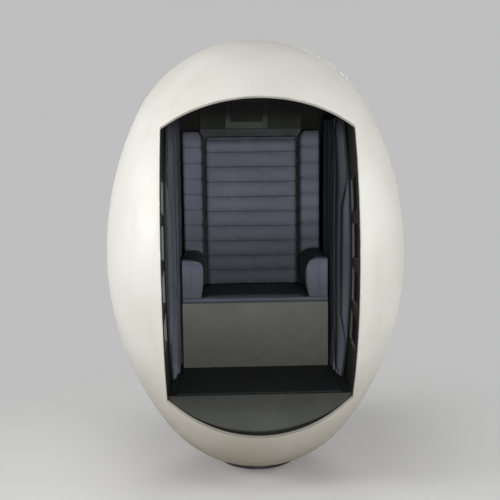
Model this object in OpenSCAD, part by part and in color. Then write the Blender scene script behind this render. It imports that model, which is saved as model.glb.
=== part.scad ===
// One-seat capsule: an egg-shaped moulded shell that stands blunt end up on a flat base plate.
// The front is cut open and shows a stepped floor, a channelled seat and pleated side walls.
// Millimetres, +Z up, the opening faces -Y, origin at the middle of the underside.

/* [Shell] */
// Largest radius of the egg
shell_r = 694; // [600:1:800]
// Height of the widest ring above the floor
belly_z = 994; // [900:1:1100]
// Height of the top above the floor
top_z = 1984; // [1800:1:2200]
// Radius of the rounded top
crown_r = 602; // [540:1:650]
// Radius of the rounded bottom
keel_r = 542; // [490:1:600]
// Depth of the egg's point below its flat underside
keel_cut = 31.7; // [15:0.1:45]
// Wall of the moulding
shell_t = 10; // [6:0.5:16]

/* [Opening] */
// Half width of the opening
mouth_hw = 406; // [350:1:450]
// Depth of the opening's top edge below the shell's top, at the middle
mouth_drop = 281; // [200:1:380]
// Slope of the top cut, rising to the front
mouth_top_slope = 47; // [30:1:60]
// Height of the opening's bottom edge at the middle
mouth_low_z = 264; // [200:1:330]
// Slope of the bottom cut, falling to the front
mouth_low_slope = 54; // [35:1:65]

/* [Base] */
// Thickness of the base plate
base_t = 16; // [6:1:20]
// Diameter of the bolt circle
base_pcd = 220; // [160:1:260]
// Number of bolt holes
base_bolts = 6; // [3:1:12]
// Diameter of a bolt hole
base_bolt_d = 13; // [8:0.5:18]

/* [Floor] */
// Height of the floor deck's top
deck_z = 427; // [390:1:500]
// Thickness of the deck
deck_t = 18; // [12:1:30]
// Front edge of the deck, measured forward of the axis
deck_front = 375; // [340:1:390]
// Thickness of the boards
board_t = 12; // [8:1:20]
// Thickness of the floor mat
mat_t = 4; // [2:0.5:8]
// Bare margin round the mat
mat_edge = 6; // [2:1:20]

/* [Seat] */
// Front of the seat, measured behind the axis
seat_front = 50; // [20:1:80]
// Half width of the seat
seat_hw = 354; // [330:1:356]
// Least gap between the seat and the linings beside it
seat_side_gap = 7; // [2:1:30]
// Height of the seat board's top
seat_z = 750; // [680:1:800]
// Thickness of the seat pad
pad_t = 25; // [20:1:60]
// Radius on the pad's front edge
pad_nose_r = 9; // [5:1:10]
// Height of an armrest
arm_h = 191; // [140:1:230]
// Width of an armrest
arm_w = 106; // [80:1:112]
// Radius of an armrest's top inner edge
arm_r = 46; // [25:1:50]
// Radius of an armrest's top front edge
arm_nose_r = 24; // [10:1:40]

/* [Backrest] */
// Front face of the backrest, measured behind the axis
back_y = 412; // [390:1:425]
// Number of sewn channels in the centre
back_channels = 10; // [6:1:14]
// Strip of bulkhead left bare above the centre
back_bare = 41.7; // [20:0.1:120]
// Half width of the centre
back_hw = 240; // [200:1:244]
// How far a channel stands out from its seam
channel_crown = 12; // [6:1:18]
// Number of sewn channels in a bolster
bolster_channels = 10; // [6:1:12]
// Strip of bulkhead left bare above a bolster
bolster_bare = 10.7; // [5:0.1:100]
// How far the bolsters stand in front of the centre
bolster_proud = 16; // [8:1:24]

/* [Rear wall] */
// Front face of the bulkhead, measured behind the axis
bulkhead_y = 460; // [445:1:470]
// Half width of the bulkhead
bulkhead_hw = 262; // [246:1:275]
// Depth of the bulkhead's top below the shell's top
bulkhead_drop = 393; // [370:1:420]
// Lean of the overhead panel from upright
overhead_lean = 37; // [30:1:45]
// Length of the overhead panel up its slope
overhead_len = 236; // [180:1:250]
// Outside width of the hatch frame
hatch_w = 218; // [150:1:300]
// Outside height of the hatch frame up the slope
hatch_h = 190; // [120:1:200]
// Offset of the hatch from the middle
hatch_x = -22; // [-80:1:80]
// Width of the frame's side and top rails
hatch_rail = 28; // [15:1:40]
// Width of the frame's bottom rail
hatch_sill = 40; // [20:1:60]
// Gap from the panel's lower edge to the frame
hatch_rise = 10; // [5:1:30]
// How far the frame stands out
hatch_t = 14; // [8:1:25]
// Thickness of the panel inside the frame
hatch_panel_t = 5; // [3:1:10]

/* [Side walls] */
// Width of the side panel behind the opening's edge
panel_w = 262; // [240:1:280]
// Thickness of the side panel, face board and backing together
panel_t = 22; // [18:1:30]
// Radius of the side panel's front edge
panel_r = 1250; // [1150:10:1400]
// Height of that edge's centre above the belly
panel_rise = 27; // [0:1:60]
// Rear limit of the side panel, measured forward of the axis
panel_stop = 60; // [30:1:120]
// Number of pockets in a side panel
pockets = 4; // [2:1:5]
// Width of a pocket across the panel
pocket_w = 148; // [100:1:160]
// Height of a pocket
pocket_h = 150; // [110:1:165]
// Depth of a pocket, which is the thickness of the side panel's face board
pocket_d = 15; // [8:1:16]
// Angle from one pocket to the next
pocket_step = 10.2; // [9:0.1:12]
// Angle of the uppermost pocket above the panel's centre
pocket_first = 14.2; // [10:0.1:16]
// Panel surface left in front of the pockets
pocket_margin = 54; // [35:1:60]
// Depth of the pleated linings' top below the shell's top
lining_drop = 354; // [330:1:480]
// Rear end of a lining, measured behind the axis
lining_rear = 330; // [280:1:340]
// Number of pleats in a lining
pleats = 6; // [4:1:9]
// How far a pleat stands out from its backing
pleat_crown = 16; // [8:1:18]
// Thickness of a lining's backing
lining_t = 6; // [3:0.5:8]
// Angle at which the linings close in towards the back
lining_toe = 1.8; // [0:0.1:2]

/* [Hidden] */
$fn = 96;

// Clearance left where one piece seats against another
seat_gap = 0.3;
// Larger than the whole capsule, for cutting tools
far = 4000;
// How far a cut runs past the face it opens
over = 1;
// The end arcs stay tighter than the belly by at least this much
end_ease = 40;

// The egg is four arcs: a long side arc and a short end arc above and below the belly
crown_arc = min(crown_r, shell_r - end_ease);
keel_arc = min(keel_r, shell_r - end_ease);
keel_z = base_t - keel_cut;
low_b = belly_z - keel_z;
high_b = top_z - belly_z;
low_side_r = (pow(shell_r, 2) + pow(low_b, 2) - 2 * low_b * keel_arc) / (2 * (shell_r - keel_arc));
high_side_r = (pow(shell_r, 2) + pow(high_b, 2) - 2 * high_b * crown_arc) / (2 * (shell_r - crown_arc));
// Heights where the end arcs take over from the side arcs
low_join = (low_b - keel_arc) * low_side_r / (low_side_r - keel_arc);
high_join = (high_b - crown_arc) * high_side_r / (high_side_r - crown_arc);
// Radius of the flat underside
base_r = sqrt(pow(keel_arc, 2) - pow(keel_arc - keel_cut, 2));

// Radius of the egg's wall at a height, less an inset
function low_wall(h, inset) = h < low_join
    ? shell_r - low_side_r + sqrt(pow(low_side_r - inset, 2) - pow(h, 2))
    : sqrt(pow(keel_arc - inset, 2) - pow(h - low_b + keel_arc, 2));
function high_wall(h, inset) = h < high_join
    ? shell_r - high_side_r + sqrt(pow(high_side_r - inset, 2) - pow(h, 2))
    : sqrt(pow(crown_arc - inset, 2) - pow(h - high_b + crown_arc, 2));
function wall_r(z, inset) = z > belly_z ? high_wall(z - belly_z, inset) : low_wall(belly_z - z, inset);

// Heights under the crown
mouth_top_z = top_z - mouth_drop;
bulkhead_top_z = top_z - bulkhead_drop;
lining_top_z = top_z - lining_drop;

// Where the opening's edge crosses the middle plane
mouth_top_y = wall_r(mouth_top_z, 0);
mouth_low_y = wall_r(mouth_low_z, 0);

pad_top = seat_z + pad_t;
riser_y = -deck_front - board_t;
panel_cy = panel_r - sqrt(pow(shell_r - shell_t, 2) - pow(mouth_hw, 2));
panel_cz = belly_z + panel_rise;
// The lining laps over the side panel's rear edge, and its pleats are trimmed to an arc there
lining_lap = 42;
lining_trim = 30;
lining_front_r = panel_r - panel_w + lining_lap;
lining_front = lining_front_r - panel_cy + lining_trim;
lining_len = lining_front + lining_rear;
lining_depth = pleat_crown + lining_t;
pleat_pitch = lining_len / pleats;
// The side panels stand at the opening's edge, or further out where the seat needs the room
panel_x = max(mouth_hw, seat_hw + seat_side_gap + lining_depth + lining_len * sin(lining_toe) + seat_gap);
lining_x = panel_x - seat_gap;
// Front edge of the side panel at a height, and the turn of a pocket about the panel's centre
function panel_front(z) = sqrt(pow(wall_r(z, shell_t + seat_gap), 2) - pow(panel_x, 2));
function pocket_turn(i) = i * pocket_step - pocket_first;
back_depth = bulkhead_y - seat_gap - back_y;
back_low_z = pad_top + seat_gap;
back_pitch = (bulkhead_top_z - back_bare - back_low_z) / back_channels;
bolster_pitch = (bulkhead_top_z - bolster_bare - back_low_z) / bolster_channels;
hatch_inner = [hatch_w - 2 * hatch_rail, hatch_h - hatch_rail - hatch_sill];

// One end of the egg's half section, drawn upwards from the belly at the right of the axis.
// The end circle lies inside the side circle and touches it where the arcs join.
module egg_end(half_h, side_r, end_r, join, inset) {
    intersection() {
        translate([shell_r - side_r, 0]) circle(r = side_r - inset);
        square([far, join]);
    }
    intersection() {
        translate([0, half_h - end_r]) circle(r = end_r - inset);
        square([far, far]);
    }
}

// Half of the egg's section, inside the outer surface by the inset
module egg_section(inset) {
    translate([0, belly_z]) {
        egg_end(high_b, high_side_r, crown_arc, high_join, inset);
        mirror([0, 1]) egg_end(low_b, low_side_r, keel_arc, low_join, inset);
    }
}

// The space inside the shell, less a clearance
module egg_space(gap) {
    rotate_extrude($fn = 180) egg_section(shell_t + gap);
}

// Half of the moulding, from a start angle
module half_shell(start) {
    rotate([0, 0, start])
        rotate_extrude(angle = 180, $fn = 180)
            difference() {
                intersection() {
                    egg_section(0);
                    translate([0, base_t]) square([far, far]);
                }
                egg_section(shell_t);
            }
}

// Turns a side view, drawn as (behind the axis, height), into a solid across the capsule
module across(half_width) {
    translate([-half_width, 0, 0])
        rotate([90, 0, 90])
            linear_extrude(2 * half_width) children();
}

// Both cut lines of the opening, seen from the side
module mouth_cut() {
    across(mouth_hw)
        polygon([
            [-mouth_low_y, mouth_low_z],
            [-mouth_low_y - shell_r, mouth_low_z - shell_r * tan(mouth_low_slope)],
            [-mouth_top_y - shell_r, mouth_top_z + shell_r * tan(mouth_top_slope)],
            [-mouth_top_y, mouth_top_z],
            [0, mouth_top_z - mouth_top_y * tan(mouth_top_slope)],
            [0, mouth_low_z + mouth_low_y * tan(mouth_low_slope)]
        ]);
}

// Section through a row of sewn channels, set out along +Y and bulging towards -X.
// Neighbouring arcs cross at the seams, where they reach the flat backing.
module channels(count, pitch, crown, depth) {
    bulge_r = (pow(pitch / 2, 2) + pow(crown, 2)) / (2 * crown);
    translate([crown, 0]) square([depth - crown, count * pitch]);
    intersection() {
        for (i = [0 : count - 1]) translate([bulge_r, (i + 0.5) * pitch]) circle(r = bulge_r);
        translate([-over, 0]) square([crown + 2 * over, count * pitch]);
    }
}

// Steel disc under the egg, with holes for bolting it to a stage or plinth
module base_plate() {
    color("dimgray")
        difference() {
            cylinder(r = base_r, h = base_t);
            for (i = [0 : base_bolts - 1])
                rotate([0, 0, i * 360 / base_bolts])
                    translate([base_pcd / 2, 0, -over]) cylinder(d = base_bolt_d, h = base_t + 2 * over);
        }
}

// Front half of the moulding, with the opening
module shell_front() {
    color("ivory")
        difference() {
            half_shell(180);
            mouth_cut();
        }
}

// Rear half of the moulding
module shell_rear() {
    color("ivory") half_shell(0);
}

// Floor board, let into the shell at the back
module deck() {
    color("dimgray")
        intersection() {
            egg_space(seat_gap);
            translate([-lining_x, -deck_front, deck_z - deck_t]) cube([2 * lining_x, far, deck_t]);
        }
}

// Dark mat on the floor in front of the seat
module floor_mat() {
    mat_hw = seat_hw + mat_edge;
    color([0.1, 0.1, 0.11])
        translate([-mat_hw, -deck_front + mat_edge, deck_z])
            cube([2 * mat_hw, deck_front + seat_front - 2 * mat_edge, mat_t]);
}

// Upright board below the deck's front edge, cut to the shell
module lower_riser() {
    color("gray")
        intersection() {
            egg_space(seat_gap);
            translate([-lining_x, riser_y, 0]) cube([2 * lining_x, board_t, deck_z]);
        }
}

// Upright board from the deck to the seat
module seat_front_panel() {
    color("gray")
        translate([-seat_hw, seat_front, deck_z]) cube([2 * seat_hw, board_t, seat_z - deck_z]);
}

// Board under the seat pad, between the front panel and the bulkhead
module seat_board() {
    color("tan")
        translate([-seat_hw, seat_front + board_t, seat_z - deck_t])
            cube([2 * seat_hw, bulkhead_y - seat_front - board_t, deck_t]);
}

// Thin full-width pad with a round front edge
module seat_pad() {
    color([0.27, 0.30, 0.38])
        across(seat_hw)
            translate([seat_front, seat_z]) {
                translate([pad_nose_r, 0]) square([bulkhead_y - seat_gap - seat_front - pad_nose_r, pad_t]);
                translate([0, pad_nose_r]) square([pad_nose_r, pad_t - 2 * pad_nose_r]);
                for (y = [pad_nose_r, pad_t - pad_nose_r]) translate([pad_nose_r, y]) circle(r = pad_nose_r);
            }
}

// Armrest: a block with a round top inner edge and a round front
module arm(side) {
    length = back_y - bolster_proud - seat_gap - seat_front;
    color([0.27, 0.30, 0.38])
        mirror([side < 0 ? 1 : 0, 0, 0])
            intersection() {
                translate([seat_hw - arm_w, seat_front + length, pad_top])
                    rotate([90, 0, 0])
                        linear_extrude(length) {
                            translate([arm_r, 0]) square([arm_w - arm_r, arm_h]);
                            square([arm_w, arm_h - arm_r]);
                            translate([arm_r, arm_h - arm_r]) circle(r = arm_r);
                        }
                across(far)
                    translate([seat_front, pad_top]) {
                        square([length, arm_h - arm_nose_r]);
                        translate([arm_nose_r, 0]) square([length - arm_nose_r, arm_h]);
                        translate([arm_nose_r, arm_h - arm_nose_r]) circle(r = arm_nose_r);
                    }
            }
}

module arm_left() { arm(-1); }
module arm_right() { arm(1); }

// Upright board behind the seat
module bulkhead() {
    color("darkslategray")
        translate([-bulkhead_hw, bulkhead_y, deck_z])
            cube([2 * bulkhead_hw, board_t, bulkhead_top_z - deck_z]);
}

// Centre of the backrest, a stack of sewn channels
module backrest() {
    color([0.27, 0.30, 0.38])
        across(back_hw)
            translate([back_y, back_low_z])
                channels(back_channels, back_pitch, channel_crown, back_depth);
}

// Side bolster of the backrest, prouder than the centre
module bolster(side) {
    color([0.30, 0.33, 0.41])
        mirror([side < 0 ? 1 : 0, 0, 0])
            intersection() {
                across(seat_hw)
                    translate([back_y - bolster_proud, back_low_z])
                        channels(bolster_channels, bolster_pitch, channel_crown, back_depth + bolster_proud);
                translate([back_hw + seat_gap, 0, 0]) cube([far, far, far]);
                egg_space(seat_gap);
            }
}

module bolster_left() { bolster(-1); }
module bolster_right() { bolster(1); }

// Places a drawing, as (across, up the slope), on the overhead panel's face
module on_overhead() {
    translate([0, bulkhead_y, bulkhead_top_z + seat_gap])
        rotate([90 + overhead_lean, 0, 0]) children();
}

// Board that leans forward over the seat, under the crown of the shell
module overhead_panel() {
    color("darkslategray")
        intersection() {
            on_overhead()
                translate([-bulkhead_hw, 0, -board_t]) cube([2 * bulkhead_hw, overhead_len, board_t]);
            translate([-far, -far, bulkhead_top_z]) cube([2 * far, 2 * far, far]);
            egg_space(seat_gap);
        }
}

// Four rails round the hatch
module hatch_frame() {
    color([0.2, 0.21, 0.2])
        on_overhead()
            translate([hatch_x - hatch_w / 2, hatch_rise, 0])
                linear_extrude(hatch_t)
                    difference() {
                        square([hatch_w, hatch_h]);
                        translate([hatch_rail, hatch_sill]) square(hatch_inner);
                    }
}

// Plain panel sunk inside the frame
module hatch_panel() {
    color([0.16, 0.17, 0.16])
        on_overhead()
            translate([hatch_x - hatch_inner[0] / 2 + seat_gap, hatch_rise + hatch_sill + seat_gap, 0])
                cube([hatch_inner[0] - 2 * seat_gap, hatch_inner[1] - 2 * seat_gap, hatch_panel_t]);
}

// Flat board beside the opening, a crescent cut to the shell, from one depth to another behind its face
module panel_board(from, to) {
    intersection() {
        translate([panel_x + from, panel_cy, panel_cz])
            rotate([90, 0, 90])
                linear_extrude(to - from)
                    difference() {
                        circle(r = panel_r + panel_w, $fn = 180);
                        circle(r = panel_r - panel_w, $fn = 180);
                    }
        egg_space(seat_gap);
        translate([0, -far, 0]) cube([far, far - panel_stop, far]);
    }
}

// One pocket, set back from the panel's front edge and turned to the panel's centre
module pocket_cut(i) {
    edge_z = panel_cz - panel_r * sin(pocket_turn(i));
    translate([panel_x - over, -panel_front(edge_z), edge_z])
        rotate([pocket_turn(i), 0, 0])
            translate([0, pocket_margin, -pocket_h / 2])
                cube([pocket_d + 2 * over, pocket_w, pocket_h]);
}

// Face board of a side panel with its pockets cut through, in an upper and a lower half
module panel_face(side, half) {
    color([0.25, 0.25, 0.24])
        mirror([side < 0 ? 1 : 0, 0, 0])
            difference() {
                intersection() {
                    panel_board(0, pocket_d);
                    translate([0, panel_cy, panel_cz])
                        rotate([pocket_turn(floor(pockets / 2) - 0.5), 0, 0])
                            translate([0, -far, half > 0 ? seat_gap / 2 : -far - seat_gap / 2])
                                cube([far, far, far]);
                }
                for (i = [0 : pockets - 1]) pocket_cut(i);
            }
}

// Backing of a side panel, which closes the pockets
module panel_back(side) {
    color([0.1, 0.1, 0.1])
        mirror([side < 0 ? 1 : 0, 0, 0]) panel_board(pocket_d, panel_t);
}

module panel_left_upper() { panel_face(-1, 1); }
module panel_left_lower() { panel_face(-1, -1); }
module panel_right_upper() { panel_face(1, 1); }
module panel_right_lower() { panel_face(1, -1); }
module panel_back_left() { panel_back(-1); }
module panel_back_right() { panel_back(1); }

// Padded wall with upright pleats on a thin backing, trimmed to an arc at the front
module lining(side) {
    color([0.20, 0.24, 0.32])
        mirror([side < 0 ? 1 : 0, 0, 0])
            intersection() {
                translate([lining_x, -lining_front, deck_z + seat_gap])
                    rotate([0, 0, lining_toe])
                        linear_extrude(lining_top_z - deck_z)
                            translate([-lining_depth, 0])
                                channels(pleats, pleat_pitch, pleat_crown, lining_depth);
                translate([0, panel_cy, panel_cz])
                    rotate([0, 90, 0]) cylinder(r = lining_front_r, h = far, $fn = 180);
            }
}

module lining_left() { lining(-1); }
module lining_right() { lining(1); }

base_plate();
shell_front();
shell_rear();
deck();
floor_mat();
lower_riser();
seat_front_panel();
seat_board();
seat_pad();
arm_left();
arm_right();
bulkhead();
backrest();
bolster_left();
bolster_right();
overhead_panel();
hatch_frame();
hatch_panel();
panel_left_upper();
panel_left_lower();
panel_right_upper();
panel_right_lower();
panel_back_left();
panel_back_right();
lining_left();
lining_right();
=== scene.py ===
import math

import bmesh
import bpy
from mathutils import Matrix, Vector, noise


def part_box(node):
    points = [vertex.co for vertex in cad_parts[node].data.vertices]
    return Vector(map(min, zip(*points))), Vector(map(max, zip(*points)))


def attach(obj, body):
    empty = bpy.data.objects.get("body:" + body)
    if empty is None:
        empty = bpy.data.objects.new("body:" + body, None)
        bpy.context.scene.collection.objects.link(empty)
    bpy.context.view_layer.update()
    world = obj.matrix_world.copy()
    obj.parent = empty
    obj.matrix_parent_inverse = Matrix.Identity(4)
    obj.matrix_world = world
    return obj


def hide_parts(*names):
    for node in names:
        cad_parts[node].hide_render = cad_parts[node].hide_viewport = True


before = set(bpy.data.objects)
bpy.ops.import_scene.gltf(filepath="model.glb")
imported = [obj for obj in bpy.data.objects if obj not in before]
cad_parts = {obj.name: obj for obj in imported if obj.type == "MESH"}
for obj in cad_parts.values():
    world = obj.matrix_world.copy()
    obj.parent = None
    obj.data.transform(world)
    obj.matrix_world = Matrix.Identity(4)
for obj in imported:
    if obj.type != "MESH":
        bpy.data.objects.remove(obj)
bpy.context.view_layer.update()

# Camera: it stands 3.8 m in front of the opening at eye height, a little to the left of the axis,
# and looks slightly down. A 58 mm lens on a 36 mm sensor frames the whole capsule.
camera_place = Vector((-0.153, -3.795, 1.5195))
camera_down, camera_turn, camera_roll = (math.radians(a) for a in (7.59, 1.93, -0.65))
camera_lens = 58.1
looks = Vector((math.sin(camera_turn) * math.cos(camera_down), math.cos(camera_turn) * math.cos(camera_down),
                -math.sin(camera_down)))
level = looks.cross(Vector((0, 0, 1))).normalized()
upright = level.cross(looks)
right = level * math.cos(camera_roll) + upright * math.sin(camera_roll)
above = upright * math.cos(camera_roll) - level * math.sin(camera_roll)
camera = bpy.data.objects.new("camera", bpy.data.cameras.new("camera"))
camera.data.lens = camera_lens
camera.data.sensor_width = 36
camera.matrix_world = Matrix.Translation(camera_place) @ Matrix((right, above, -looks)).transposed().to_4x4()
bpy.context.scene.collection.objects.link(camera)
bpy.context.scene.camera = camera


# Base plate: a steel disc that the egg stands on, bolted down through six holes.
# It is painted matt black, and the paint is rubbed thin in patches.
def add(tree, kind, sockets={}, **settings):
    """A shader node with its settings, and its sockets set to values or joined to other nodes."""
    made = tree.nodes.new("ShaderNode" + kind)
    for name, value in settings.items():
        setattr(made, name, value)
    for name, value in sockets.items():
        if isinstance(value, bpy.types.NodeSocket):
            tree.links.new(value, made.inputs[name])
        else:
            made.inputs[name].default_value = value
    return made


def start_finish(name):
    """A new material, its node tree, its shader and the piece's own coordinates."""
    material = bpy.data.materials.new(name)
    material.use_nodes = True
    tree = material.node_tree
    return material, tree, tree.nodes["Principled BSDF"], add(tree, "TexCoord").outputs["Object"]


def cloud(tree, place, scale, detail=3.0, stretch=(1, 1, 1)):
    """Soft noise from 0 to 1, at a scale in patches per metre, drawn out along an axis where asked."""
    place = add(tree, "Mapping", {"Vector": place, "Scale": stretch}).outputs[0]
    return add(tree, "TexNoise", {"Vector": place, "Scale": scale, "Detail": detail}).outputs["Fac"]


def spread(tree, value, low, high, out_low=0.0, out_high=1.0):
    """Stretches a value between two limits over another range."""
    sockets = {"Value": value, "From Min": low, "From Max": high, "To Min": out_low, "To Max": out_high}
    return add(tree, "MapRange", sockets, interpolation_type="SMOOTHSTEP").outputs["Result"]


def between(tree, share, first, second):
    """Colour between two colours."""
    return add(tree, "Mix", {0: share, 6: first, 7: second}, data_type="RGBA").outputs[2]


def relief(tree, height, depth, strength=1.0, under=None):
    """Bump from a height, over another bump where there is one."""
    sockets = {"Height": height, "Distance": depth, "Strength": strength}
    if under is not None:
        sockets["Normal"] = under
    return add(tree, "Bump", sockets).outputs["Normal"]


def painted(name, dark, light, roughness, patches, grain=300.0, grain_depth=0.0003, dark_band=None, band_tone=0.48):
    """Rolled flat paint: two close colours in soft patches, a fine stipple, and a darker band.

    The band is darkest at the first of two heights and ends at the second. On the boards inside it is
    painted shade, on the shell's inside it is the black paint above the deck, and on the rim it makes
    the paint darker towards the bottom.
    """
    material, tree, shader, place = start_finish(name)
    patch = spread(tree, cloud(tree, place, patches, 5.0), 0.3, 0.7)
    colour = between(tree, patch, (*dark, 1), (*light, 1))
    # The darker band: painted shade on the boards inside, black paint on the shell's inside.
    if dark_band:
        height = add(tree, "SeparateXYZ", {0: place}).outputs["Z"]
        darkening = spread(tree, height, dark_band[0], dark_band[1], 1.0, 0.0)
        colour = between(tree, darkening, colour, tuple(c * band_tone for c in dark) + (1,))
    tree.links.new(colour, shader.inputs["Base Color"])
    shader.inputs["Specular IOR Level"].default_value = 0.3
    worn = spread(tree, cloud(tree, place, patches * 4), 0.2, 0.8, roughness - 0.07, roughness + 0.09)
    tree.links.new(worn, shader.inputs["Roughness"])
    stipple = relief(tree, cloud(tree, place, grain, 2.0), grain_depth)
    tree.links.new(stipple, shader.inputs["Normal"])
    return material


def place_piece(name, work, finishes, smooth=40):
    """Makes a piece from a finished bmesh, riding on the capsule's one body."""
    mesh = bpy.data.meshes.new(name)
    work.to_mesh(mesh)
    work.free()
    for finish in finishes:
        mesh.materials.append(finish)
    mesh.shade_smooth()
    mesh.set_sharp_from_angle(angle=math.radians(smooth))
    made = bpy.data.objects.new(name, mesh)
    bpy.context.scene.collection.objects.link(made)
    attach(made, "root")
    return made


def eased(node, finish, ease=0.0015):
    """A board like its CAD node, with its long edges eased by a sander."""
    work = bmesh.new()
    work.from_mesh(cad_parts[node].data)
    bmesh.ops.remove_doubles(work, verts=work.verts, dist=1e-5)
    bmesh.ops.dissolve_limit(work, angle_limit=math.radians(0.5), verts=work.verts, edges=work.edges)
    bmesh.ops.recalc_face_normals(work, faces=work.faces)
    edges = [e for e in work.edges if e.is_manifold and e.calc_face_angle() > math.radians(40)]
    bmesh.ops.bevel(work, geom=edges, offset=ease, affect="EDGES", segments=2, profile=0.5, material=-1)
    for face in work.faces:
        face.material_index = 0
    made = place_piece(node + "_board", work, [finish])
    made.modifiers.new("even_shading", "WEIGHTED_NORMAL").keep_sharp = True
    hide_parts(node)
    return made


black_paint = painted("black_paint", (0.018, 0.018, 0.020), (0.035, 0.035, 0.036), 0.5, 9.0, 420.0, 0.0004)
eased("base_plate", black_paint, 0.0012)

# Shell: two glass-fibre mouldings of one egg, 10 mm thick, joined in an upright seam at the sides.
# The outside is sprayed satin cream, darker and tan towards the ground. The inside is black down to
# the deck and pale below it, and the pale there also stands in for bounced light on a band in shade.
# The opening is sawn out of the front, and its rim sanded round.
shell_low, shell_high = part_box("shell_rear")
belly_r = shell_high.x
belly_z = 0.994
crown_r = 0.602
keel_r = 0.542
pole_z = -0.0157
wall = 0.010
mouth_half = 0.406
mouth_top_z, mouth_top_slope = 1.703, math.radians(47)
mouth_low_z, mouth_low_slope = 0.264, math.radians(54)
mouth_back = -0.05
saw_room = 0.06
rim_step = 0.003
rim_round = 0.0025
seam_ease = 0.0010


def egg_arcs(inset):
    """Centre, radius and end angles of the egg's four arcs, from its foot to its top."""
    low, high = belly_z - pole_z, shell_high.z - belly_z
    low_r = (belly_r ** 2 + low ** 2 - 2 * low * keel_r) / (2 * (belly_r - keel_r))
    high_r = (belly_r ** 2 + high ** 2 - 2 * high * crown_r) / (2 * (belly_r - crown_r))
    low_turn = math.atan2(low - keel_r, low_r - belly_r)
    high_turn = math.atan2(high - crown_r, high_r - belly_r)
    foot_turn = math.asin((pole_z + keel_r - shell_low.z) / (keel_r - inset))
    return [(0, pole_z + keel_r, keel_r - inset, -foot_turn, -low_turn),
            (belly_r - low_r, belly_z, low_r - inset, -low_turn, 0.0),
            (belly_r - high_r, belly_z, high_r - inset, 0.0, high_turn),
            (0, shell_high.z - crown_r, crown_r - inset, high_turn, math.pi / 2)]


def wall_radius(z, inset=0.0):
    """Radius of the egg's wall at a height, less an inset."""
    for centre_r, centre_z, radius, start, end in egg_arcs(inset):
        if z <= centre_z + radius * math.sin(end):
            return centre_r + math.sqrt(max(0.0, radius ** 2 - (z - centre_z) ** 2))
    return 0.0


def moulding(start, step=0.018, turns=110):
    """Half of the egg: the outer and inner sections joined at the foot, then spun half a turn."""
    work = bmesh.new()
    for inset in (0.0, wall):
        for centre_r, centre_z, radius, low, high in egg_arcs(inset):
            centre = Vector((centre_r, 0, centre_z))
            first = work.verts.new(centre + radius * Vector((math.cos(low), 0, math.sin(low))))
            steps = max(4, round(radius * (high - low) / step))
            bmesh.ops.spin(work, geom=[first], cent=centre, axis=(0, -1, 0), angle=high - low, steps=steps)
    bmesh.ops.remove_doubles(work, verts=work.verts, dist=1e-6)
    ends = sorted((v for v in work.verts if len(v.link_edges) == 1), key=lambda v: v.co.z)
    work.edges.new(ends[:2])
    bmesh.ops.rotate(work, cent=(0, 0, 0), matrix=Matrix.Rotation(start, 3, "Z"), verts=work.verts)
    section = list(work.verts) + list(work.edges)
    bmesh.ops.spin(work, geom=section, cent=(0, 0, 0), axis=(0, 0, 1), angle=math.pi, steps=turns)
    bmesh.ops.remove_doubles(work, verts=work.verts, dist=1e-5)
    loops = bmesh.ops.holes_fill(work, edges=[e for e in work.edges if e.is_boundary])
    bmesh.ops.triangulate(work, faces=[f for f in loops["faces"] if len(f.verts) > 4])
    bmesh.ops.recalc_face_normals(work, faces=work.faces)
    return work


def saw_mouth(work):
    """Saws the opening out of the front moulding and closes its rim between the two skins."""
    top_at = Vector((0, -wall_radius(mouth_top_z), mouth_top_z))
    low_at = Vector((0, -wall_radius(mouth_low_z), mouth_low_z))
    cuts = [(Vector((mouth_half, 0, 0)), Vector((1, 0, 0))),
            (Vector((-mouth_half, 0, 0)), Vector((-1, 0, 0))),
            (top_at, Vector((0, math.sin(mouth_top_slope), math.cos(mouth_top_slope)))),
            (low_at, Vector((0, math.sin(mouth_low_slope), -math.cos(mouth_low_slope)))),
            (Vector((0, mouth_back, 0)), Vector((0, 1, 0)))]
    for at, out in cuts[:4]:
        faces = [f for f in work.faces
                 if all((f.calc_center_median() - a).dot(n) < saw_room for a, n in cuts)]
        edges = list({e for f in faces for e in f.edges})
        verts = list({v for f in faces for v in f.verts})
        bmesh.ops.bisect_plane(work, geom=faces + edges + verts, dist=1e-5, plane_co=at, plane_no=out)
    waste = [f for f in work.faces if all((f.calc_center_median() - a).dot(n) < 0 for a, n in cuts)]
    bmesh.ops.delete(work, geom=waste, context="FACES")
    rim = [e for e in work.edges if e.is_boundary]
    rim_verts = list({v for e in rim for v in e.verts})
    bmesh.ops.remove_doubles(work, verts=rim_verts, dist=rim_step)
    rim = [e for e in work.edges if e.is_boundary]
    return bmesh.ops.bridge_loops(work, edges=rim)["faces"]


cream_paint, tree, shader, place = start_finish("cream_paint")
height = add(tree, "SeparateXYZ", {0: place}).outputs["Z"]
patch = spread(tree, cloud(tree, place, 2.6, 6.0), 0.3, 0.72)
colour = between(tree, patch, (0.72, 0.70, 0.63, 1), (0.80, 0.785, 0.735, 1))
streak = spread(tree, cloud(tree, place, 9.0, 4.0, (1, 1, 0.12)), 0.52, 0.78, 0.0, 0.22)
colour = between(tree, streak, colour, (0.60, 0.56, 0.46, 1))
ragged = add(tree, "Math", {0: cloud(tree, place, 3.4, 5.0), 1: 0.34}, operation="MULTIPLY").outputs[0]
ragged = add(tree, "Math", {0: height, 1: ragged}, operation="ADD").outputs[0]
ground = spread(tree, ragged, 0.10, 0.92, 0.92, 0.0)
colour = between(tree, ground, colour, (0.34, 0.295, 0.215, 1))
speck = spread(tree, cloud(tree, place, 85.0, 2.0), 0.70, 0.76, 0.0, 0.25)
colour = between(tree, speck, colour, (0.52, 0.48, 0.39, 1))
tree.links.new(colour, shader.inputs["Base Color"])
satin = spread(tree, cloud(tree, place, 7.0, 5.0), 0.25, 0.75, 0.45, 0.57)
tree.links.new(satin, shader.inputs["Roughness"])
peel = relief(tree, cloud(tree, place, 240.0, 1.0), 0.0003)
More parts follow.
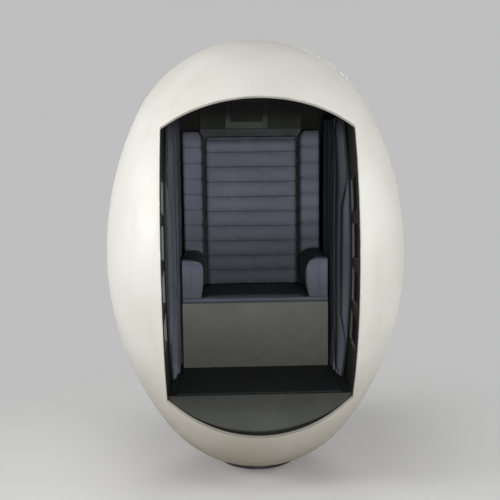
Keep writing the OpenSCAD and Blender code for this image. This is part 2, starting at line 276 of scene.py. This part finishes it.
tree.links.new(relief(tree, cloud(tree, place, 5.0, 2.0), 0.0015, 0.5, peel), shader.inputs["Normal"])
shader.inputs["Coat Weight"].default_value = 0.06
shader.inputs["Coat Roughness"].default_value = 0.3
# Pale below the deck and black above: the pale is paint, and also painted light on a band in shade.
black_inside = painted("black_inside", (0.42, 0.42, 0.39), (0.50, 0.50, 0.47), 0.75, 6.0, 160.0, 0.0008,
                       dark_band=(0.40, 0.33), band_tone=0.018)
rim_paint = painted("rim_paint", (0.46, 0.44, 0.385), (0.58, 0.56, 0.51), 0.5, 14.0,
                    dark_band=(0.26, 0.50), band_tone=0.5)
for name, start in (("shell_front", math.pi), ("shell_rear", 0.0)):
    work = moulding(start)
    sawn = set(saw_mouth(work)) if name == "shell_front" else set()
    bmesh.ops.recalc_face_normals(work, faces=work.faces)
    for face in work.faces:
        at = face.calc_center_median()
        outwards = Vector((at.x, at.y, at.z - belly_z))
        face.material_index = 2 if face in sawn else 0 if face.normal.dot(outwards) > 0 else 1
    rim = [e for e in work.edges if len([f for f in e.link_faces if f in sawn]) == 1]
    bmesh.ops.bevel(work, geom=rim, offset=rim_round, affect="EDGES", segments=2, profile=0.5, material=2)
    seam = [e for e in work.edges if e.is_manifold and all(abs(v.co.y) < 1e-5 for v in e.verts)
            and e.calc_face_angle() > 1.0 and 0 in (f.material_index for f in e.link_faces)]
    bmesh.ops.bevel(work, geom=seam, offset=seam_ease, affect="EDGES", segments=1, profile=0.5, material=-1)
    half = place_piece(name + "_moulding", work, [cream_paint, black_inside, rim_paint], 50)
    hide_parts(name)

# Boards: the lower riser and the seat front are painted warm grey, sawn from plywood and screwed to
# the deck, which is painted black. The seat board under the pad is left as bare ply.
# The riser's grey darkens towards its top: painted shade.
grey_paint = painted("grey_paint", (0.066, 0.070, 0.059), (0.086, 0.090, 0.077), 0.68, 5.0, 330.0,
                     dark_band=(0.43, 0.27))
# The seat front darkens towards the bottom: painted shade.
seat_paint = painted("seat_paint", (0.132, 0.137, 0.122), (0.160, 0.165, 0.149), 0.66, 5.0, 330.0,
                     dark_band=(0.36, 0.80))
deck_paint = painted("deck_paint", (0.008, 0.009, 0.009), (0.016, 0.017, 0.017), 0.7, 6.0)
eased("deck", deck_paint)
eased("lower_riser", grey_paint)
eased("seat_front_panel", seat_paint)
bare_ply, tree, shader, place = start_finish("bare_ply")
grain = cloud(tree, place, 14.0, 8.0, (0.08, 1, 1))
colour = between(tree, spread(tree, grain, 0.3, 0.7), (0.40, 0.26, 0.13, 1), (0.58, 0.41, 0.23, 1))
ply = add(tree, "TexWave", {"Vector": place, "Scale": 55.0, "Distortion": 0.6}, bands_direction="Z")
glue = spread(tree, ply.outputs["Fac"], 0.4, 0.9, 0.0, 0.35)
colour = between(tree, glue, colour, (0.30, 0.18, 0.09, 1))
tree.links.new(colour, shader.inputs["Base Color"])
tree.links.new(spread(tree, grain, 0.2, 0.8, 0.58, 0.74), shader.inputs["Roughness"])
tree.links.new(relief(tree, grain, 0.0006), shader.inputs["Normal"])
eased("seat_board", bare_ply)

# Floor mat: a thin sheet of black rubber, pebbled on top. It is cut with a knife and laid loose
# on the deck, and dust has settled in it.
mat_rubber, tree, shader, place = start_finish("mat_rubber")
pebble = add(tree, "TexVoronoi", {"Vector": place, "Scale": 210.0, "Smoothness": 0.6}, feature="SMOOTH_F1")
dust = spread(tree, cloud(tree, place, 7.0, 6.0), 0.45, 0.8, 0.0, 0.6)
colour = between(tree, dust, (0.010, 0.011, 0.012, 1), (0.026, 0.027, 0.029, 1))
tree.links.new(colour, shader.inputs["Base Color"])
tree.links.new(spread(tree, dust, 0.0, 0.6, 0.6, 0.78), shader.inputs["Roughness"])
shader.inputs["Specular IOR Level"].default_value = 0.3
tree.links.new(relief(tree, pebble.outputs["Distance"], 0.0012), shader.inputs["Normal"])
eased("floor_mat", mat_rubber, 0.0008)

# Bulkhead, overhead and hatch: dark green-grey painted boards behind and above the seat. The hatch is
# a planted frame with a thin flush panel. It has no catch or hinge that shows.
# Overhead and hatch panel darken towards the top: painted shadow under the shell's top lip.
dark_paint = painted("dark_paint", (0.022, 0.025, 0.020), (0.034, 0.037, 0.030), 0.7, 6.0,
                     dark_band=(1.70, 1.59), band_tone=0.08)
# The hatch frame darkens towards the top: painted shade, which leaves its bottom rail looking lit.
hatch_paint = painted("hatch_paint", (0.064, 0.068, 0.064), (0.088, 0.093, 0.088), 0.6, 9.0,
                      dark_band=(1.68, 1.61), band_tone=0.1)
# The bulkhead darkens below the backrest's top: painted shade in the gaps beside backrest and bolsters.
bulkhead_paint = painted("bulkhead_paint", (0.028, 0.029, 0.030), (0.040, 0.041, 0.044), 0.66, 6.0,
                         dark_band=(1.50, 1.555), band_tone=0.2)
eased("bulkhead", bulkhead_paint)
eased("overhead_panel", dark_paint)
eased("hatch_frame", hatch_paint, 0.002)
eased("hatch_panel", dark_paint, 0.001)

# Side panels: a crescent of dark painted board on each side of the opening, in two halves, with four
# pockets sawn through. The sawn edges are left in lighter primer, and a backing board closes the
# pockets; its near-black colour is painted shade for the deep shadow inside them.
panel_paint = painted("panel_paint", (0.022, 0.0235, 0.020), (0.034, 0.0355, 0.031), 0.68, 8.0)
primer = painted("primer", (0.165, 0.172, 0.163), (0.215, 0.222, 0.211), 0.66, 12.0)
# Near-black backing: painted shade in the pockets.
backing_paint = painted("backing_paint", (0.004, 0.004, 0.004), (0.008, 0.008, 0.0075), 0.75, 8.0, 240.0)
for side in ("left", "right"):
    for half in ("upper", "lower"):
        face_board = eased(f"panel_{side}_{half}", panel_paint, 0.002)
        face_board.data.materials.append(primer)
        for face in face_board.data.polygons:
            face.material_index = int(abs(face.normal.x) < 0.3)
    eased("panel_back_" + side, backing_paint, 0.0008)

# Seat pad: a thin foam pad in blue vinyl on the seat board, with a rolled front edge. It is crowned
# where someone sits, and held flat under the arms and the backrest.
blue_dark, blue_light = (0.146, 0.162, 0.208), (0.188, 0.206, 0.264)


def vinyl(name, dark, light, painted_shades=()):
    """Vinyl-coated fabric: worn patches, a fine leather grain, soft wrinkles, dark seams and painted shade.

    Each painted shade is the height where it is darkest, the height where it ends, and its strength.
    The crease values of each piece add more painted shade and the dark seams.
    """
    material, tree, shader, place = start_finish(name)
    patch = spread(tree, cloud(tree, place, 5.5, 6.0), 0.28, 0.72)
    colour = between(tree, patch, (*dark, 1), (*light, 1))
    violet = spread(tree, cloud(tree, place, 3.1, 3.0), 0.5, 0.8, 0.0, 0.35)
    colour = between(tree, violet, colour, (light[0] * 1.04, light[1] * 0.94, light[2] * 1.02, 1))
    rubbed = spread(tree, cloud(tree, place, 16.0, 5.0), 0.62, 0.8, 0.0, 0.3)
    colour = between(tree, rubbed, colour, tuple(c * 1.3 for c in light) + (1,))
    grain = add(tree, "TexVoronoi", {"Vector": place, "Scale": 820.0}, feature="DISTANCE_TO_EDGE")
    pores = spread(tree, grain.outputs["Distance"], 0.0, 0.22)
    in_pores = spread(tree, pores, 0.0, 1.0, 0.22, 0.0)
    colour = between(tree, in_pores, colour, tuple(c * 0.45 for c in dark) + (1,))
    height = add(tree, "SeparateXYZ", {0: place}).outputs["Z"]
    # Painted shade between pairs of heights.
    for thickest, ends, strength in painted_shades:
        darkening = spread(tree, height, thickest, ends, strength, 0.0)
        colour = between(tree, darkening, colour, (dark[0] * 0.38, dark[1] * 0.36, dark[2] * 0.36, 1))
    # Painted shade and dark seams, from the crease values of each piece.
    shade_and_seams = add(tree, "Attribute", attribute_name="crease").outputs["Fac"]
    shade_and_seams = spread(tree, shade_and_seams, 0.0, 1.0, 0.0, 0.96)
    colour = between(tree, shade_and_seams, colour, tuple(c * 0.09 for c in dark) + (1,))
    tree.links.new(colour, shader.inputs["Base Color"])
    worn = spread(tree, cloud(tree, place, 22.0, 4.0), 0.25, 0.75, 0.46, 0.62)
    tree.links.new(worn, shader.inputs["Roughness"])
    crease = relief(tree, cloud(tree, place, 42.0, 4.0, (1, 1, 0.55)), 0.0016, 0.5)
    tree.links.new(relief(tree, pores, 0.0004, 0.7, crease), shader.inputs["Normal"])
    shader.inputs["Specular IOR Level"].default_value = 0.35
    shader.inputs["Sheen Weight"].default_value = 0.05
    shader.inputs["Sheen Roughness"].default_value = 0.5
    return material


def cut_foam(columns, layers, rows):
    """A unit block of foam, cut into cells across, in depth and upwards."""
    work = bmesh.new()
    bmesh.ops.create_cube(work, size=1, matrix=Matrix.Translation((0.5, 0.5, 0.5)))
    for axis, cells in enumerate((columns, layers, rows)):
        along = [e for e in work.edges
                 if abs(e.verts[1].co[axis] - e.verts[0].co[axis]) > 0.999 * e.calc_length()]
        bmesh.ops.subdivide_edges(work, edges=along, cuts=cells - 1, use_grid_fill=True)
    return work


def round_corner(across, up, radius):
    """Moves a point of a square corner, given inwards from its two sides, on to a round one."""
    a, b = 1 - across / radius, 1 - up / radius
    if a <= 0 or b <= 0:
        return across, up
    pull = max(a, b) / math.hypot(a, b)
    return radius * (1 - a * pull), radius * (1 - b * pull)


def ripple(at, scale, seed):
    """Smooth noise between -1 and 1 at a place, different for each seed."""
    return noise.noise(Vector(at) * scale + Vector((seed * 7.3, seed * 3.1, seed * 5.7)))


def upholster(name, work, shape, held, darkness_at, finish, node, swell, pressure=4.0):
    """Shapes a foam block, lets air pressure swell its cover between the sewn points, and places it.

    The functions for the shape, the hold and the darkness take a point of the unit block, given across,
    in depth from the front and upwards. They say where it goes, how fast it is sewn, and how dark its
    colour is painted, as painted shade and dark seams. A block that its shape mirrors is inside out
    while it swells, so its cover is drawn in instead. All the faces are turned outwards afterwards.
    """
    holds, darkness_values = [], []
    for vert in work.verts:
        cell = tuple(vert.co)
        holds.append(held(*cell))
        darkness_values.append(darkness_at(*cell))
        vert.co = shape(*cell)
    pad = place_piece(name, work, [finish], 180)
    # Each point's painted shade and dark seams, for the vinyl to read.
    pad.data.attributes.new("crease", "FLOAT", "POINT").data.foreach_set("value", darkness_values)
    sewn = pad.vertex_groups.new(name="sewn")
    for index, hold in enumerate(holds):
        sewn.add([index], hold, "REPLACE")
    cloth = pad.modifiers.new("cover", "CLOTH")
    cloth.settings.quality = 4
    cloth.settings.mass = 0.3
    cloth.settings.tension_stiffness = 12
    cloth.settings.compression_stiffness = 6
    cloth.settings.bending_stiffness = 0.3
    cloth.settings.shrink_min = -0.02
    cloth.settings.use_pressure = True
    cloth.settings.uniform_pressure_force = pressure
    cloth.settings.vertex_group_mass = "sewn"
    cloth.settings.effector_weights.gravity = 0
    cloth.collision_settings.use_collision = False
    for step in range(1, 21):
        bpy.context.scene.frame_set(step)
    swollen = pad.evaluated_get(bpy.context.evaluated_depsgraph_get()).to_mesh()
    moves = [new.co - old.co for new, old in zip(swollen.vertices, pad.data.vertices)]
    pad.modifiers.remove(cloth)
    bpy.context.scene.frame_set(1)
    for vert, move in zip(pad.data.vertices, moves):
        vert.co += move * min(1.0, swell / max(move.length, 1e-9))
    pad.vertex_groups.clear()
    turned = bmesh.new()
    turned.from_mesh(pad.data)
    bmesh.ops.recalc_face_normals(turned, faces=turned.faces)
    turned.to_mesh(pad.data)
    turned.free()
    finer = pad.modifiers.new("finer", "SUBSURF")
    finer.levels = finer.render_levels = 1
    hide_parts(node)
    return pad


blue_vinyl = vinyl("blue_vinyl", blue_dark, blue_light)
pad_low, pad_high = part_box("seat_pad")
pad_size = pad_high - pad_low
pad_nose = 0.010
pad_crown = 0.004
pad_wave = 0.0010
arm_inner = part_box("arm_right")[0].x


def pad_shape(u, v, w):
    y, top = round_corner(v * pad_size.y, (1 - w) * pad_size.z, pad_nose)
    x = pad_low.x + u * pad_size.x
    middle = max(0.0, 1 - (x / arm_inner) ** 2) * math.sin(math.pi * min(1, max(0, v * 1.06))) ** 0.6
    z = pad_high.z - top + w * pad_crown * middle
    z += w * pad_wave * ripple((x, y, 0), 9.0, 1)
    return x, pad_low.y + y, z


def pad_held(u, v, w):
    x = abs(pad_low.x + u * pad_size.x)
    return 1.0 if w < 0.01 or x > arm_inner or v > 0.86 else 0.85 if v < 0.001 else 0.0


# Painted shade: near-black behind and under the front edge, and the rolled front edge darker, most low down.
def pad_shade(u, v, w):
    if w < 0.01 and v < 0.02:
        return 1.0
    return 1.0 if v > 0.1 else 0.38 if w > 0.5 else 0.55


upholster("seat_pad_cover", cut_foam(60, 34, 5), pad_shape, pad_held, pad_shade, blue_vinyl,
          "seat_pad", 0.005, 2.0)

# Arms: two foam blocks in blue vinyl that stand on the ends of the pad. The inner top edge is
# rounded, the inner side swells in the middle, and the front is a sewn panel with an upright seam.
arm_low, arm_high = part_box("arm_right")
arm_size = arm_high - arm_low
arm_round = 0.050
arm_nose = 0.022
arm_waist, waist_end = 0.015, 0.55
arm_bulge = 0.003
arm_wave = 0.0012
arm_narrow = 0.97
arm_side_room, arm_room = 0.002, 0.003
arm_seam_depth = 0.0022
front_seam = 0.60
cap_seam = 0.88


def groove(share, seam, width):
    """A smooth dip at a seam, from 1 on it to 0 beside it."""
    return math.exp(-((share - seam) / width) ** 2)


def arm_shape(u, v, w):
    across, down = round_corner(u * arm_size.x, (1 - w) * arm_size.z, arm_round)
    back, drop = round_corner(v * arm_size.y, down, arm_nose) if down < arm_nose else (v * arm_size.y, down)
    low = max(0.0, 1 - w / waist_end)
    across += arm_waist * low ** 2 * (1 - u)
    if v == 0:
        back += arm_seam_depth * (groove(u, front_seam, 0.035) + groove(w, cap_seam, 0.02))
        back -= arm_bulge * math.sin(math.pi * u) * math.sin(math.pi * w)
    wave = arm_wave * ripple((u, v * 3, w * 2), 4.0, 2)
    x = arm_low.x + arm_side_room + across * arm_narrow
    return x, arm_low.y + arm_room + back, arm_high.z - arm_room - drop + wave * w


def arm_held(u, v, w):
    if w < 0.01 or u > 0.99 or v > 0.97:
        return 1.0
    if v < 0.001 and (abs(u - front_seam) < 0.03 or abs(w - cap_seam) < 0.03):
        return 1.0
    return 1.0 if v < 0.001 and (u < 0.001 or w > 0.999) else 0.0


# Painted shade on the top and the inner side behind the front panel, and dark seams on the front panel.
def arm_shade_and_seams(u, v, w):
    if v > 0.001:
        shade = min(1.0, v / 0.08)
        return 0.78 * shade if w > 0.999 else shade if u < 0.001 else 0.0
    return 0.4 * max(groove(u, front_seam, 0.02), groove(w, cap_seam, 0.012))


def mirrored(shape):
    """The same shape on the left side."""
    def left_shape(u, v, w):
        x, y, z = shape(u, v, w)
        return -x, y, z
    return left_shape


# The arms darken towards the bottom: painted shade.
arm_vinyl = vinyl("arm_vinyl", blue_dark, blue_light, ((arm_low.z, arm_high.z - 0.03, 0.6),))
for side, shape in (("right", arm_shape), ("left", mirrored(arm_shape))):
    upholster(f"arm_{side}_cover", cut_foam(20, 36, 25), shape, arm_held, arm_shade_and_seams,
              arm_vinyl, "arm_" + side, 0.006)

# Backrest: a tall foam pad in blue vinyl, sewn through in ten level channels, with a thin welt along
# its top edge. The channels end in small scallops beside the bolsters.
back_low, back_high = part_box("backrest")
back_size = back_high - back_low
channels = 10
channel_rows = 8
welt, welt_rise = 0.017, 0.55
seam_depth = 0.012
side_inset, scallop = 0.003, 0.004
side_roll, side_roll_from = 0.010, 0.92
dimple = 0.0020
seam_wander = 0.0034
cover_room = 0.004
back_seams = [k * back_size.z / channels for k in range(channels)] + [back_size.z - welt, back_size.z]


def sewn(share, seams):
    """Place of a row between the seams, and how far the cover stands out there, from 0 to 1."""
    part = min(len(seams) - 2, int(share * (len(seams) - 1) + 1e-6))
    t = (1 - math.cos(math.pi * (share * (len(seams) - 1) - part))) / 2
    return seams[part] + (seams[part + 1] - seams[part]) * t, math.sqrt(max(0.0, 4 * t * (1 - t)))


def at_seam(share, parts):
    """Whether a row of cells lies on a seam."""
    return abs(share * parts - round(share * parts)) < 1e-3


def back_shape(u, v, w):
    z, rise = sewn(w, back_seams)
    if z > back_seams[-2]:
        rise *= welt_rise
    side = 2 * u - 1
    x = side * (back_high.x - side_inset - scallop * (1 - rise))
    edge = 1 - abs(side) ** 14
    rolled = max(0.0, (abs(side) - side_roll_from) / (1 - side_roll_from))
    depth = seam_depth * (1 - rise * edge) + side_roll * rolled ** 2
    depth += dimple * (1 + ripple((x, 0, z), 11.0, 4)) * rise
    wave = seam_wander * ripple((x, 0, round(w * len(back_seams)) * 2.0), 3.2, 3) * (0.01 < w < 0.99)
    front = back_low.y + cover_room + depth
    return x, front + (back_high.y - front) * v, back_low.z + z + wave


def back_held(u, v, w):
    return 1.0 if v > 0.3 or at_seam(w, channels + 1) else 0.0


# Dark seams between the channels, and painted shade along the side edges and on the sides and back.
def back_shade_and_seams(u, v, w):
    seam = 0.85 * max(0.0, 1 - sewn(w, back_seams)[1] / 0.42)
    return max(seam, 0.8 * (abs(2 * u - 1) > 0.97)) if v < 0.01 else 0.9


# The backrest darkens towards the seat and under its top edge: painted shade.
back_vinyl = vinyl("back_vinyl", blue_dark, blue_light,
                   ((back_low.z, 1.28, 0.95), (back_high.z, back_high.z - 0.055, 0.85)))
upholster("backrest_cover", cut_foam(44, 3, (channels + 1) * channel_rows), back_shape, back_held,
          back_shade_and_seams, back_vinyl, "backrest", 0.008)

# Bolsters: two narrow upright pads in the same vinyl beside the backrest, sewn across in ten
# channels. Their inner edge and inner top corner are rounded, and they follow the shell at the top.
bolster_low, bolster_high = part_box("bolster_right")
bolster_size = bolster_high - bolster_low
bolster_edge = 0.034
bolster_corner = 0.046
bolster_narrow = 0.98
bolster_room = 0.002
bolster_seam_depth = 0.010
bolster_wander, bolster_dimple = 0.0026, 0.0018
shell_room = 0.003
bolster_seams = [k * bolster_size.z / channels for k in range(channels + 1)]


def bolster_shape(u, v, w):
    up, rise = sewn(w, bolster_seams)
    across, top = round_corner(u * bolster_size.x, bolster_size.z - up, bolster_corner)
    across, depth = round_corner(across, v * bolster_size.y, bolster_edge)
    x = bolster_low.x + bolster_room + across * bolster_narrow + scallop * (1 - rise) * (1 - u)
    z = bolster_high.z - bolster_room - top
    z += bolster_wander * ripple((x, 0, round(w * channels) * 2.0), 5.0, 5) * (0.01 < w < 0.99)
    y = bolster_low.y + cover_room + depth
    y += (1 - v) * (bolster_seam_depth * (1 - rise) + bolster_dimple * ripple((x, 0, z), 13.0, 6))
    y = min(y, bolster_high.y)
    room = wall_radius(z, wall + shell_room)
    reach = math.hypot(x, y)
    return (x, y, z) if reach < room else (x * room / reach, y * room / reach, z)


def bolster_held(u, v, w):
    return 1.0 if v > 0.6 or u > 0.99 or at_seam(w, channels) else 0.0


# Dark seams, and painted shade along both edges of the front and on the sides and back.
def bolster_shade_and_seams(u, v, w):
    seam = 0.45 * max(0.0, 1 - sewn(w, bolster_seams)[1] / 0.42)
    edge = max(0.85 * max(0.0, 1 - u / 0.26), 0.7 * max(0.0, 1 - (1 - u) / 0.16))
    return max(seam, edge) if v < 0.6 else 0.9


# The bolsters darken towards the arms and under their tops: painted shade.
bolster_vinyl = vinyl("bolster_vinyl", blue_dark, blue_light,
                      ((arm_high.z, 1.24, 0.6), (bolster_high.z, bolster_high.z - 0.08, 0.75)))
for side, shape in (("right", bolster_shape), ("left", mirrored(bolster_shape))):
    upholster(f"bolster_{side}_cover", cut_foam(16, 6, channels * channel_rows), shape, bolster_held,
              bolster_shade_and_seams, bolster_vinyl, "bolster_" + side, 0.007)

# Linings: padded walls of navy vinyl beside the seat, sewn in seven upright rolls that gather towards
# the front at the foot. The front roll is a lens that pinches out above and below, and on the left
# three of the rolls behind it are flatter.
lining_low, lining_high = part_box("lining_right")
lining_toe = math.radians(1.8)
lining_from = -0.3605
lining_x = 0.4057
lining_backing = 0.006
front_arc, front_y, front_z = 1.030, 0.6995, 1.021
rolls = 7
roll_columns = 10
right_crowns = (0.027, 0.030, 0.028, 0.027, 0.025, 0.024, 0.023)
left_crowns = (0.027, 0.030, 0.010, 0.028, 0.009, 0.026, 0.009)
roll_leans = (1.6, 1.4, 1.1, 1.1, 1.1, 1.1, 1.1)
roll_places = ((-0.105, -0.080, -0.085), (-0.060, 0.000, -0.020), (0.000, 0.075, 0.070),
               (0.090, 0.160, 0.160), (0.200, 0.245, 0.245), (0.330, 0.330, 0.330))
roll_steepest = 0.42
roll_narrowest = 0.012
roll_wave = 0.0015
lens_width, lens_middle, lens_half = 0.115, 0.99, 0.42
lens_end, lens_taper = 0.16, 1.5


def roll_edge(k, z):
    """Where the front edge of a roll lies along the wall at a height.

    From the third roll on it follows a curve through its places at the foot, the middle and the top.
    """
    first = front_y - math.sqrt(front_arc ** 2 - (z - front_z) ** 2)
    if k == 0:
        return first
    if k == 1:
        return first + lens_width * max(lens_end, 1 - ((z - lens_middle) / lens_half) ** 2) ** lens_taper
    foot, middle, top = roll_places[k - 2]
    t = (z - lining_low.z) / (lining_high.z - lining_low.z)
    curve = foot * (1 - t) * (1 - 2 * t) + middle * 4 * t * (1 - t) + top * t * (2 * t - 1)
    return max(curve, roll_edge(1, z) + roll_narrowest * (k - 1))


def in_roll(u):
    """The roll that a column lies in, and how far it is across the roll and over the crest, from 0 to 1."""
    k = min(rolls - 1, int(u * rolls + 1e-6))
    t = (1 - math.cos(math.pi * (u * rolls - k))) / 2
    return k, t, t ** roll_leans[k]


def lining_shape(crowns):
    """The lining of the right side, with these heights for its rolls."""
    def shape(u, v, w):
        z = lining_low.z + w * (lining_high.z - lining_low.z)
        k, t, lean = in_roll(u)
        ahead, behind = roll_edge(k, z), roll_edge(k + 1, z)
        y = ahead + (behind - ahead) * t
        rise = 4 * lean * (1 - lean)
        crown = min(crowns[k], roll_steepest * (behind - ahead)) * rise
        crown += roll_wave * ripple((0, y, z), 4.0, 8) * rise
        base = lining_x - (y - lining_from) * math.tan(lining_toe)
        return base - (1 - v) * (lining_backing + crown), y, z
    return shape


def lining_held(u, v, w):
    return 1.0 if v > 0.3 or at_seam(u, rolls) or w < 0.01 or w > 0.99 else 0.0


def lining_shade(dark_from):
    """Painted shade on a lining: at the foot of each roll, on the rear flanks, under the roof, a little on
    the front roll, and from one column on inwards.
    """
    def darkness_at(u, v, w):
        if v >= 0.3:
            return 0.9
        k, _, lean = in_roll(u)
        foot = max(0.0, 1 - 4 * lean * (1 - lean) / 0.2)
        rear_flank = min(1.0, max(0.0, (lean - 0.27) / 0.17))
        deep_inside = min(1.0, max(0.0, (u - dark_from) / 0.35))
        under_roof = max(0.0, (w - 0.88) / 0.12)
        lens = 0.22 if k == 0 else 0.0
        return max(0.95 * foot, 0.88 * rear_flank, 0.65 * deep_inside, lens, under_roof)
    return darkness_at


navy_vinyl = vinyl("navy_vinyl", (0.148, 0.166, 0.206), (0.200, 0.220, 0.266))
# dark_from is the column from which each lining's painted shade deepens inwards.
for side, shape, dark_from in (("right", lining_shape(right_crowns), 0.42),
                               ("left", mirrored(lining_shape(left_crowns)), 0.30)):
    upholster(f"lining_{side}_cover", cut_foam(rolls * roll_columns, 2, 72), shape, lining_held,
              lining_shade(dark_from), navy_vinyl, "lining_" + side, 0.004)

# Studio: a pale floor that fades into a pale backdrop, a soft light behind the camera that reaches
# the seat, and wide weaker ones at both sides, above and behind the shell.
floor_radius = 4.0
fade_from, fade_to = 0.7, 2.2


def backdrop_shows(tree):
    """1 for rays from the camera, off gloss and through glass, and 0 for the light on the object."""
    ray = add(tree, "LightPath").outputs
    seen = add(tree, "Math", {0: ray["Is Camera Ray"], 1: ray["Is Transmission Ray"]}, operation="MAXIMUM")
    return add(tree, "Math", {0: seen.outputs[0], 1: ray["Is Glossy Ray"]}, operation="MAXIMUM").outputs[0]


floor_paint, tree, shader, place = start_finish("floor_paint")
floor_colour = between(tree, backdrop_shows(tree), (0.22, 0.22, 0.22, 1), (0.74, 0.74, 0.735, 1))
tree.links.new(floor_colour, shader.inputs["Base Color"])
shader.inputs["Roughness"].default_value = 0.8
reach = add(tree, "VectorMath", {0: place}, operation="LENGTH").outputs["Value"]
fade = spread(tree, reach, fade_from, fade_to)
clear = add(tree, "BsdfTransparent").outputs[0]
mixed = add(tree, "MixShader", {0: fade, 1: shader.outputs[0], 2: clear}).outputs[0]
tree.links.new(mixed, tree.nodes["Material Output"].inputs["Surface"])
work = bmesh.new()
bmesh.ops.create_circle(work, cap_ends=True, segments=96, radius=floor_radius)
floor_mesh = bpy.data.meshes.new("floor")
work.to_mesh(floor_mesh)
work.free()
floor_mesh.materials.append(floor_paint)
floor = bpy.data.objects.new("floor", floor_mesh)
bpy.context.scene.collection.objects.link(floor)

world = bpy.data.worlds.new("studio")
bpy.context.scene.world = world
world.use_nodes = True
tree = world.node_tree
light = tree.nodes["Background"]
light.inputs["Color"].default_value = (1, 1, 1, 1)
light.inputs["Strength"].default_value = 0.04
pale = add(tree, "Background", {"Color": (0.52, 0.52, 0.52, 1), "Strength": 1.0}).outputs[0]
mixed = add(tree, "MixShader", {0: backdrop_shows(tree), 1: light.outputs[0], 2: pale}).outputs[0]
tree.links.new(mixed, tree.nodes["World Output"].inputs["Surface"])

for name, at, aim, size, power in (("front_light", (0.28, -5.4, 0.95), (0, 0, 1.0), (0.6, 0.5), 160),
                                   ("left_light", (-3.7, -0.75, 1.75), (0, 0, 1.1), (1.6, 1.6), 90),
                                   ("right_light", (3.7, -0.65, 1.6), (0, 0, 1.1), (1.6, 1.6), 64),
                                   ("top_light", (-0.5, -0.9, 4.6), (0, 0, 1.2), (2.4, 2.4), 44),
                                   ("back_light", (0.6, 4.8, 2.3), (0, 0, 1.1), (2.0, 2.0), 60)):
    lamp = bpy.data.lights.new(name, "AREA")
    lamp.shape = "RECTANGLE"
    lamp.size, lamp.size_y = size
    lamp.energy = power
    lamp_object = bpy.data.objects.new(name, lamp)
    lamp_object.location = at
    lamp_object.rotation_euler = (Vector(aim) - Vector(at)).to_track_quat("-Z", "Y").to_euler()
    bpy.context.scene.collection.objects.link(lamp_object)

bpy.context.scene.view_settings.view_transform = "Standard"
